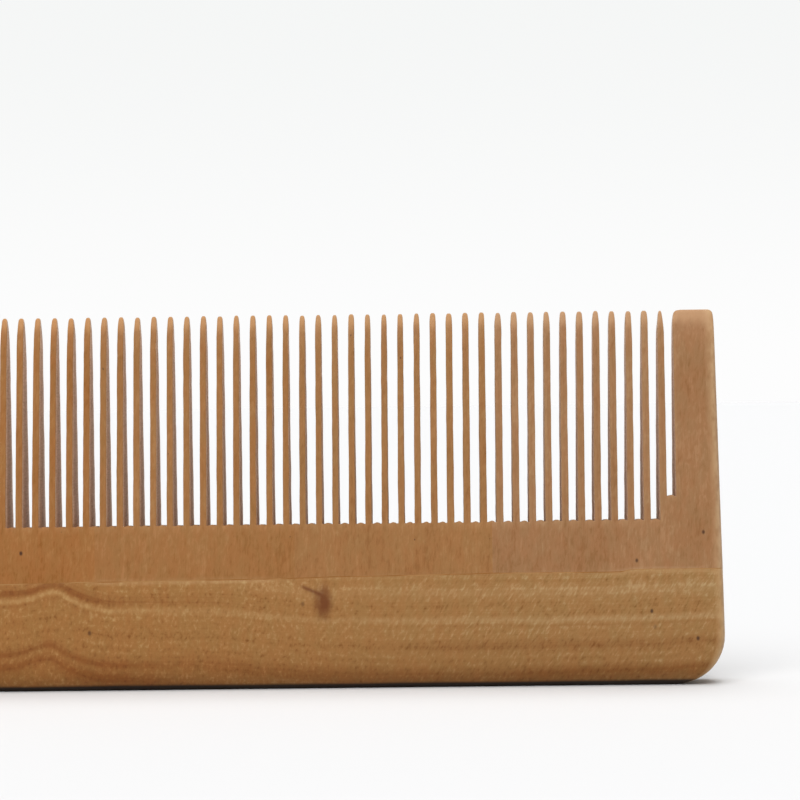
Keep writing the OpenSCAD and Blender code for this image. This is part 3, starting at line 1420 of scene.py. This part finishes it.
class StaveWood(WoodMaterial):
    """Wood with its grain up the teeth, with a painted highlight that makes the upturned tips paler.

    Attributes:
        TIP_HIGHLIGHT_Z: Heights between which the painted tip highlight comes in, in millimetres.
        GRAIN_TURN: The turn that lays the grain's X along the teeth, in degrees.
        SPECK: Colour of the round specks.
    """

    TIP_HIGHLIGHT_Z = (46.0, 47.8)
    GRAIN_TURN = (0, 90, 0)
    SPECK = srgb(74, 42, 24)

    def make(self) -> bpy.types.Material:
        """Builds the material of a stave's faces."""
        graph, finish = self.graph, self.finish
        grain = graph.placed(self.place, turn=self.GRAIN_TURN, move=(finish.shift, finish.shift, 0))
        fibres = self.group(self.effects.fibres, grain_place=grain)
        pores = self.group(self.effects.pores, grain_place=grain)
        tone = graph.swing(fibres.outputs["Streaks"], 1.2, 0.5)
        tone = graph.swing(fibres.outputs["Fine"], 0.8, tone)
        cloudy = graph.noise(graph.placed(self.place, (0.16, 0.2, 0.1)), 1.0)
        tone = graph.swing(cloudy, 0.9, tone)
        leaning = graph.placed(self.place, turn=(0, -12, 0))
        mottled = graph.noise(graph.placed(leaning, (2.2, 1.2, 0.85)), 2.0, 0.62, 0.6)
        tone = graph.swing(mottled, 1.35, tone)
        colour = self.warmed(self.toned(tone))
        dimmed = graph.maths("MULTIPLY", pores.outputs["Vessels"], 0.1)
        colour = graph.mixed(dimmed, colour, finish.dark)
        specks = graph.maths("MULTIPLY", pores.outputs["Specks"], 0.8)
        colour = graph.mixed(specks, colour, self.SPECK)
        axes = graph.add("SeparateXYZ")
        graph.feed(axes.inputs[0], self.place)
        # Painted highlight: the top of each tooth is drawn paler, standing in for the light that falls on
        # the upturned tips.
        ragged = graph.noise(graph.placed(self.place, (1.2, 0.4, 0.4)), 2.0)
        edge = graph.maths("MULTIPLY_ADD", ragged, 1.6, axes.outputs["Z"])
        tip = graph.ranged(edge, *self.TIP_HIGHLIGHT_Z, 0.0, 0.7)
        colour = graph.mixed(tip, colour, finish.tip_highlight_colour)
        colour = self.with_pits(colour)
        with_pale_edges = self.group(
            self.effects.worn_and_highlit_edges, colour=colour, pale=finish.pale_edge,
            amount=finish.edge_wear_and_highlight, place=self.place,
        )
        height = graph.maths("MULTIPLY_ADD", pores.outputs["Vessels"], -0.6, fibres.outputs["Fine"])
        rough = graph.ranged(fibres.outputs["Streaks"], 0.3, 0.7, finish.rough - 0.05, finish.rough + 0.06)
        return self.surface(with_pale_edges.outputs["Colour"], height, rough)


class SawnWood(WoodMaterial):
    """The greyer walls of the saw cuts, with the blade's fine cross marks."""

    def make(self) -> bpy.types.Material:
        """Builds the material of the sawn walls."""
        graph, finish = self.graph, self.finish
        grain = graph.placed(self.place, turn=StaveWood.GRAIN_TURN)
        fibres = self.group(self.effects.fibres, grain_place=grain)
        marks = graph.noise(graph.placed(self.place, (0.6, 0.5, 5.0), turn=(24, 0, 0)), 3.0, 0.65)
        tone = graph.maths("MULTIPLY_ADD", marks, 0.5, graph.maths("MULTIPLY", fibres.outputs["Fine"], 0.5))
        colour = self.toned(graph.ranged(tone, 0.3, 0.7))
        return self.surface(colour, marks, finish.rough)


class GlueLine(WoodMaterial):
    """The thin pale line of glue and raised fibres along the joint."""

    def make(self) -> bpy.types.Material:
        """Builds the material of the glue line."""
        graph = self.graph
        broken = graph.noise(graph.placed(self.place, (0.16, 0.2, 0.2)), 3.0, 0.6)
        tone = graph.ranged(broken, 0.38, 0.58)
        return self.surface(self.toned(tone), broken, self.finish.rough)


@dataclass(frozen=True)
class FigureLine:
    """One growth line that shows along the spine.

    Attributes:
        level: Its height where the figure doesn't drift.
        width: Its half width.
        from_x: Where none of it shows, along the comb.
        to_x: Where it shows fully, and goes on past, on the side away from from_x.
        strength: How strongly it shows.
    """

    level: float
    width: float
    from_x: float
    to_x: float
    strength: float


class SpineWood(WoodMaterial):
    """Wood with its grain along the spine: drifting growth lines, a knot and fine ripple.

    Attributes:
        DRIFT: Places along the comb and how far the growth lines have risen there.
        DRIFT_SPAN: The greatest rise or fall that the drift's curve can hold.
        LEAN: How far the drift's crests lean along the comb for each millimetre down.
        DARK_LINES: The growth lines that are darker than the wood.
        LIGHT_LINES: The ones that are paler.
        DARK_TINT: Tint of the dark lines, and of the painted shade towards the foot.
        KNOT: The knot's X and Z.
        KNOT_CORE: Colour of the knot.
        KNOT_STREAK: Colour of the streak that runs into it.
        PAINTED_CONTACT_SHADE: Colour of the painted contact shadow, a near-black band along the foot where
            the comb meets the floor.
        FAR_TINT: Tint of the spine at its right end.
    """

    DRIFT = (
        (-62.0, -1.5), (-50.0, -0.6), (-40.0, 0.2), (-33.0, 0.45), (-29.5, 0.15), (-26.6, 0.45),
        (-24.6, 1.2), (-23.2, 1.42), (-21.6, 0.75), (-19.6, -0.2), (-17.5, -0.8), (-14.5, -1.25),
        (-4.6, -1.5), (8.0, -2.55), (21.0, -3.0), (43.0, -3.1), (62.0, -2.7),
    )
    DRIFT_SPAN = 4.5
    LEAN = 0.13
    DARK_LINES = (
        FigureLine(12.25, 0.44, -13.0, -20.0, 0.8),
        FigureLine(12.75, 0.5, -6.0, -16.0, 0.25),
        FigureLine(10.7, 0.3, -16.0, -20.0, 0.3),
        FigureLine(4.6, 0.5, -4.0, -18.0, 0.85),
        FigureLine(3.0, 0.7, 0.0, -18.0, 0.75),
        FigureLine(4.8, 0.7, -18.0, 0.0, 0.42),
        FigureLine(12.7, 0.25, 1.0, -3.0, 0.35),
        FigureLine(13.4, 0.2, 1.0, -3.0, 0.25),
        FigureLine(10.8, 0.3, 24.0, 28.0, 0.2),
        FigureLine(8.3, 0.8, 14.0, 30.0, 0.4),
        FigureLine(5.2, 0.5, 30.0, 40.0, 0.3),
    )
    LIGHT_LINES = (
        FigureLine(11.45, 0.32, -8.0, -18.0, 0.6),
        FigureLine(11.6, 0.4, -18.0, -8.0, 0.3),
        FigureLine(11.5, 0.14, 31.0, 33.0, 0.12),
        FigureLine(15.2, 0.7, -10.0, 4.0, 0.2),
    )
    DARK_TINT = (0.74, 0.56, 0.36)
    KNOT = (11.05, 11.15)
    KNOT_CORE = srgb(98, 50, 10)
    KNOT_STREAK = srgb(92, 44, 10)
    PAINTED_CONTACT_SHADE = srgb(12, 8, 6)
    FAR_TINT = (0.98, 1.14, 1.5)

    def drift(self, x: bpy.types.NodeSocket) -> bpy.types.NodeSocket:
        """Gives how far the growth lines have drifted up at an X, as one smooth curve.

        Args:
            x: The X, in millimetres.

        Returns:
            The rise, in millimetres.
        """
        graph = self.graph
        node = graph.add("FloatCurve")
        curve = node.mapping.curves[0]
        low, high = self.DRIFT[0][0], self.DRIFT[-1][0]
        points = [
            ((at_x - low) / (high - low), 0.5 + rise / 2 / self.DRIFT_SPAN)
            for at_x, rise in self.DRIFT
        ]
        curve.points[0].location = points[0]
        curve.points[1].location = points[-1]
        for point in points[1:-1]:
            curve.points.new(*point)
        node.mapping.update()
        share = graph.add("MapRange", interpolation_type="LINEAR")
        for socket, item in zip(share.inputs, (x, low, high, 0.0, 1.0)):
            graph.feed(socket, item)
        graph.feed(node.inputs["Value"], share.outputs[0])
        centred = graph.maths("SUBTRACT", node.outputs[0], 0.5)
        return graph.maths("MULTIPLY", centred, 2 * self.DRIFT_SPAN)

    def ripple(self, x: Value) -> bpy.types.NodeSocket:
        """Adds short strokes across the grain, upright on the left and leaning on the right.

        Args:
            x: The X, in millimetres.

        Returns:
            The strokes, as a noise about 0.5.
        """
        graph = self.graph
        strokes = []
        for turn, size in ((-10, (2.5, 1.4, 1.6)), (-32, (3.0, 1.4, 1.1))):
            turned = graph.placed(self.place, turn=(0, turn, 0))
            strokes.append(graph.noise(graph.placed(turned, size), 2.0, 0.6, 0.35))
        share = graph.ranged(x, 6.0, 30.0, 0.15, 0.85)
        node = graph.add("Mix", data_type="FLOAT")
        for socket, value in zip(node.inputs, (share, None, strokes[0], strokes[1])):
            if value is not None:
                graph.feed(socket, value)
        return node.outputs[0]

    def knot_distance(self, x: Value, z: Value, stretch: tuple[float, float]) -> bpy.types.NodeSocket:
        """Gives the distance from the knot, measured in its own half widths.

        Args:
            x: The X, in millimetres.
            z: The height, in millimetres.
            stretch: The half widths along X and Z.

        Returns:
            The distance, 1 on the ellipse that the half widths give.
        """
        graph = self.graph
        across = graph.maths("DIVIDE", graph.maths("SUBTRACT", x, self.KNOT[0]), stretch[0])
        up = graph.maths("DIVIDE", graph.maths("SUBTRACT", z, self.KNOT[1]), stretch[1])
        square = graph.maths("MULTIPLY_ADD", up, up, graph.maths("MULTIPLY", across, across))
        return graph.maths("SQRT", square)

    def figure_lines(self, field: Value, x: Value,
                     lines: tuple[FigureLine, ...]) -> bpy.types.NodeSocket:
        """Adds up a set of growth lines, each fading along the comb.

        Args:
            field: The height with the drift taken out.
            x: The X, in millimetres.
            lines: The lines.

        Returns:
            How strongly they show together.
        """
        graph = self.graph
        total: Value = 0.0
        for line in lines:
            bell = graph.bump_at(field, line.level, line.width)
            ends = (0.0, 1.0) if line.to_x > line.from_x else (1.0, 0.0)
            fade = graph.ranged(x, *sorted((line.from_x, line.to_x)), *ends)
            shown = graph.maths("MULTIPLY", bell, fade)
            total = graph.maths("MULTIPLY_ADD", shown, line.strength, total)
        return total

    def make(self) -> bpy.types.Material:
        """Builds the spine's material."""
        graph, finish = self.graph, self.finish
        axes = graph.add("SeparateXYZ")
        graph.feed(axes.inputs[0], self.place)
        x, y, z = axes.outputs
        near_knot = graph.ranged(self.knot_distance(x, z, (5.0, 4.0)), 0.0, 1.0, 0.7, 0.0)
        wander = graph.noise(graph.placed(self.place, (0.09, 0.15, 0.22)), 2.0, 0.5)
        leaning = graph.maths("MULTIPLY_ADD", graph.maths("SUBTRACT", 12.0, z), self.LEAN, x)
        field = graph.maths("SUBTRACT", z, self.drift(leaning))
        field = graph.maths("MULTIPLY_ADD", graph.maths("ADD", y, 4.0), 0.6, field)
        field = graph.swing(wander, 0.7, graph.maths("ADD", field, near_knot))
        broad = graph.noise(graph.maths("MULTIPLY", field, 0.42), 1.0, 0.5)
        fine_rings = graph.noise(graph.maths("MULTIPLY_ADD", field, 1.9, 40.0), 2.0, 0.6)
        fibres = self.group(self.effects.fibres, grain_place=self.place)
        pores = self.group(self.effects.pores, grain_place=self.place)
        tone = graph.swing(broad, 0.4, 0.5)
        tone = graph.swing(fine_rings, 0.3, tone)
        tone = graph.swing(fibres.outputs["Streaks"], 0.35, tone)
        ripple = self.ripple(x)
        tone = graph.swing(ripple, 1.35, tone)
        tone = graph.maths("ADD", tone, graph.ranged(z, 8.0, 13.0, 0.0, 0.04))
        colour = self.warmed(self.toned(graph.maths("ADD", tone, 0.0, clamp=True)))
        paler = self.figure_lines(field, x, self.LIGHT_LINES)
        paler = graph.maths("MULTIPLY", paler, graph.ranged(ripple, 0.3, 0.7, 0.6, 1.25))
        colour = graph.mixed(paler, colour, finish.light)
        darker = self.figure_lines(field, x, self.DARK_LINES)
        # Painted shade: the spine is drawn darker from 6.5 mm down to 1.6 mm, standing in for the shade on
        # the rounding under its back.
        darker = graph.maths("ADD", darker, graph.ranged(z, 1.6, 6.5, 0.34, 0.0))
        darker = graph.maths("MINIMUM", darker, 1.0)
        colour = graph.mixed(darker, colour, self.DARK_TINT, "MULTIPLY")
        colour = graph.mixed(graph.maths("MULTIPLY", pores.outputs["Vessels"], 0.14), colour, finish.dark)
        colour = self.with_pits(colour)
        shift = graph.ranged(x, -35.0, 60.0)
        colour = graph.mixed(shift, colour, self.FAR_TINT, "MULTIPLY")
        colour = self.with_knot(colour, x, y, z)
        # Painted shade: the lowest millimetre of the spine is drawn near black, standing in for the contact
        # shadow under its foot.
        contact_shade_height = graph.swing(wander, 0.2, z)
        colour = graph.mixed(graph.ranged(contact_shade_height, 0.45, 0.92, 0.94, 0.0), colour, self.PAINTED_CONTACT_SHADE)
        with_pale_edges = self.group(
            self.effects.worn_and_highlit_edges, colour=colour, pale=finish.pale_edge,
            amount=finish.edge_wear_and_highlight, place=self.place,
        )
        height = graph.maths("MULTIPLY_ADD", pores.outputs["Vessels"], -0.6, fibres.outputs["Fine"])
        height = graph.maths("MULTIPLY_ADD", ripple, 0.5, height)
        rough = graph.ranged(ripple, 0.3, 0.7, finish.rough - 0.05, finish.rough + 0.06)
        return self.surface(with_pale_edges.outputs["Colour"], height, rough)

    def with_knot(self, colour: Value, x: Value, y: Value, z: Value) -> bpy.types.NodeSocket:
        """Adds the reddish knot on the front face, and the dark streak that runs into it.

        Args:
            colour: The wood's colour.
            x: The X, in millimetres.
            y: The Y, in millimetres.
            z: The height, in millimetres.

        Returns:
            The colour with the knot in it.
        """
        graph = self.graph
        front = graph.ranged(y, -2.5, 0.0, 1.0, 0.0)
        ragged = graph.noise(graph.placed(self.place, (0.9, 0.9, 0.6)), 3.0, 0.6)
        distance = self.knot_distance(x, z, (1.3, 2.5))
        distance = graph.swing(ragged, 1.0, distance)
        core = graph.maths("MULTIPLY", graph.ranged(distance, 0.15, 1.3, 0.95, 0.0), front)
        colour = graph.mixed(core, colour, self.KNOT_CORE)
        slant = graph.maths("MULTIPLY_ADD", graph.maths("SUBTRACT", x, self.KNOT[0]), 0.42, z)
        line = graph.bump_at(slant, self.KNOT[1] + 0.78, 0.27)
        span = graph.maths("MULTIPLY", graph.ranged(x, 7.8, 8.8), graph.ranged(x, 10.4, 11.2, 1.0, 0.0))
        streak = graph.maths("MULTIPLY", graph.maths("MULTIPLY", line, span), front)
        return graph.mixed(graph.maths("MULTIPLY", streak, 0.75), colour, self.KNOT_STREAK)


SPINE_FINISH = WoodFinish(
    "spine_long_grain", dark=srgb(112, 64, 14), body=srgb(142, 96, 46), light=srgb(167, 128, 78),
    pale_edge=srgb(178, 142, 98),
    pits=(
        (-18.7, 7.5, 0.6), (8.4, 10.9, 0.4), (52.6, 9.5, 0.85), (53.0, 7.5, 0.35), (58.4, 6.0, 0.85),
    ),
)
STAVE_FINISHES = (
    WoodFinish("stave_1_grain", srgb(130, 80, 28), srgb(142, 92, 43), srgb(151, 104, 56),
               srgb(164, 130, 90), srgb(176, 126, 76), shift=11.0),
    WoodFinish("stave_2_grain", srgb(129, 79, 25), srgb(141, 91, 42), srgb(150, 103, 55),
               srgb(160, 120, 74), srgb(176, 126, 76), shift=23.0, pits=((-27.4, 17.7, 0.95),)),
    WoodFinish("stave_3_grain", srgb(130, 84, 36), srgb(141, 95, 49), srgb(151, 106, 62),
               srgb(160, 122, 78), srgb(174, 127, 80), shift=37.0),
    WoodFinish("stave_4_grain", srgb(129, 84, 40), srgb(141, 97, 53), srgb(150, 108, 65),
               srgb(162, 126, 84), srgb(173, 129, 84), shift=53.0),
    # The right-end stave has the palest edge colour, partly a painted highlight on the rounded end.
    WoodFinish("stave_5_grain", srgb(129, 87, 48), srgb(140, 99, 62), srgb(150, 111, 75),
               srgb(178, 144, 106), srgb(170, 130, 92), shift=71.0,
               pits=((50.8, 15.9, 0.8), (59.3, 19.4, 0.85))),
)
SAWN_FINISH = WoodFinish(
    "sawn_walls", dark=srgb(178, 146, 118), body=srgb(204, 174, 150), light=srgb(222, 194, 172),
    pale_edge=srgb(186, 150, 108), rough=0.8, bump=0.4,
)
GLUE_FINISH = WoodFinish(
    "glue_line", dark=srgb(132, 84, 34), body=srgb(141, 94, 46), light=srgb(152, 110, 62),
    pale_edge=srgb(206, 176, 130), rough=0.4, bump=0.05,
)


# ---------------------------------------------------------------------------------------
# The studio
# ---------------------------------------------------------------------------------------


@dataclass(frozen=True)
class SoftLight:
    """One broad, distant studio light.

    Attributes:
        name: Its name.
        rise: Its height above the horizon in degrees, past 90 from behind the comb.
        swing: Its turn to the comb's left in degrees.
        spread: Its apparent size in degrees.
        strength: Its strength.
    """

    name: str
    rise: float
    swing: float
    spread: float
    strength: float


@dataclass(frozen=True)
class Studio:
    """A pale floor under soft white light, and the camera.

    Attributes:
        lamps: The soft lights.
        floor_half: Half width of the floor.
        floor_drop: How far the floor lies below the comb's foot.
        floor_colour: Its colour.
        sky_low: Brightness of the walls near the floor.
        sky_high: Brightness of the walls higher up.
        sky_top: Brightness of the ceiling.
        lens: Focal length of the camera, in millimetres.
        camera_place: Where the camera stands.
        camera_turn: Its yaw, pitch and roll in degrees.
    """

    lamps: tuple[SoftLight, ...] = (
        SoftLight("lamp_front", 50, 8, 45, 2.33),
        SoftLight("lamp_above", 98, 0, 40, 2.0),
    )
    floor_half: float = 6.0
    floor_drop: float = 0.01 * MM
    floor_colour: Colour = (0.632, 0.634, 0.638)
    sky_low: Colour = (0.983, 0.983, 0.983)
    sky_high: Colour = (0.915, 0.925, 0.92)
    sky_top: Colour = (0.30, 0.30, 0.30)
    lens: float = 121.1
    camera_place: Triple = (25.7 * MM, -345 * MM, 37.8 * MM)
    camera_turn: Triple = (0.78, -0.20, 0.72)

    def build(self) -> None:
        """Places the camera, the floor, the sky and the lamps."""
        self.place_camera()
        self.lay_floor()
        self.light_sky()
        for lamp in self.lamps:
            self.hang(lamp)

    def place_camera(self) -> None:
        """Stands the camera in front of the comb, turned by yaw, pitch and roll."""
        data = bpy.data.cameras.new("camera")
        data.lens = self.lens
        data.clip_start, data.clip_end = 0.01, 20
        camera = bpy.data.objects.new("camera", data)
        bpy.context.scene.collection.objects.link(camera)
        yaw, pitch, roll = (math.radians(angle) for angle in self.camera_turn)
        turned = Matrix.Rotation(yaw, 4, "Z") @ Matrix.Rotation(pitch, 4, "X")
        turned = turned @ Matrix.Rotation(roll, 4, "Y") @ Matrix.Rotation(math.pi / 2, 4, "X")
        camera.matrix_world = Matrix.Translation(self.camera_place) @ turned
        bpy.context.scene.camera = camera

    def lay_floor(self) -> None:
        """Lays one large pale sheet just under the comb's foot."""
        shape = bmesh.new()
        bmesh.ops.create_grid(shape, x_segments=4, y_segments=4, size=self.floor_half)
        bmesh.ops.translate(shape, vec=(0, 0, -self.floor_drop), verts=shape.verts[:])
        mesh = bpy.data.meshes.new("studio_floor")
        shape.to_mesh(mesh)
        shape.free()
        floor = bpy.data.objects.new("studio_floor", mesh)
        bpy.context.scene.collection.objects.link(floor)
        material = bpy.data.materials.new("studio_paper")
        material.use_nodes = True
        shader = material.node_tree.nodes["Principled BSDF"]
        shader.inputs["Base Color"].default_value = (*self.floor_colour, 1)
        shader.inputs["Roughness"].default_value = 0.9
        shader.inputs["Specular IOR Level"].default_value = 0.1
        mesh.materials.append(material)

    def light_sky(self) -> None:
        """Surrounds the studio with white walls under a dimmer ceiling."""
        world = bpy.data.worlds.new("studio_walls")
        world.use_nodes = True
        world.node_tree.nodes.clear()
        graph = Graph(world.node_tree)
        up = graph.add("SeparateXYZ")
        graph.feed(up.inputs[0], graph.add("TexCoord").outputs["Generated"])
        wall = graph.mixed(graph.ranged(up.outputs["Z"], 0.0, 0.15), self.sky_low, self.sky_high)
        colour = graph.mixed(graph.ranged(up.outputs["Z"], 0.17, 0.4), wall, self.sky_top)
        shader = graph.add("Background")
        graph.feed(shader.inputs["Color"], colour)
        graph.feed(graph.add("OutputWorld").inputs["Surface"], shader.outputs[0])
        bpy.context.scene.world = world
        bpy.context.scene.view_settings.view_transform = "Standard"

    def hang(self, lamp: SoftLight) -> None:
        """Hangs one light and turns it to the comb.

        Args:
            lamp: The light.
        """
        data = bpy.data.lights.new(lamp.name, "SUN")
        data.angle = math.radians(lamp.spread)
        data.energy = lamp.strength
        light = bpy.data.objects.new(lamp.name, data)
        bpy.context.scene.collection.objects.link(light)
        aim = Vector((0, 1, 0))
        aim.rotate(Matrix.Rotation(math.radians(-lamp.rise), 3, "X"))
        aim.rotate(Matrix.Rotation(math.radians(-lamp.swing), 3, "Z"))
        light.rotation_mode = "QUATERNION"
        light.rotation_quaternion = aim.to_track_quat("-Z", "Y")


def main() -> None:
    """Builds the studio and the comb, sized from the model's bounds."""
    logging.basicConfig(level=logging.INFO, format="%(name)s: %(message)s")
    low, high = CAD_BOX
    side = SideProfile(height=high.z)
    front = FrontOutline(widest=high.x - 0.08 * MM)
    plan = ToothPlan()
    effects = SharedEffects()
    Studio().build()
    Spine(side, front).build([SpineWood(SPINE_FINISH, effects).make()])
    sawn = SawnWood(SAWN_FINISH, effects).make()
    glue = GlueLine(GLUE_FINISH, effects).make()
    staves = len(STAVE_FINISHES)
    for number, finish in enumerate(STAVE_FINISHES, start=1):
        grain = StaveWood(finish, effects).make()
        ToothStave(number, staves, plan, side, front).build([grain, sawn, glue])


if __name__ == "__main__":
    main()
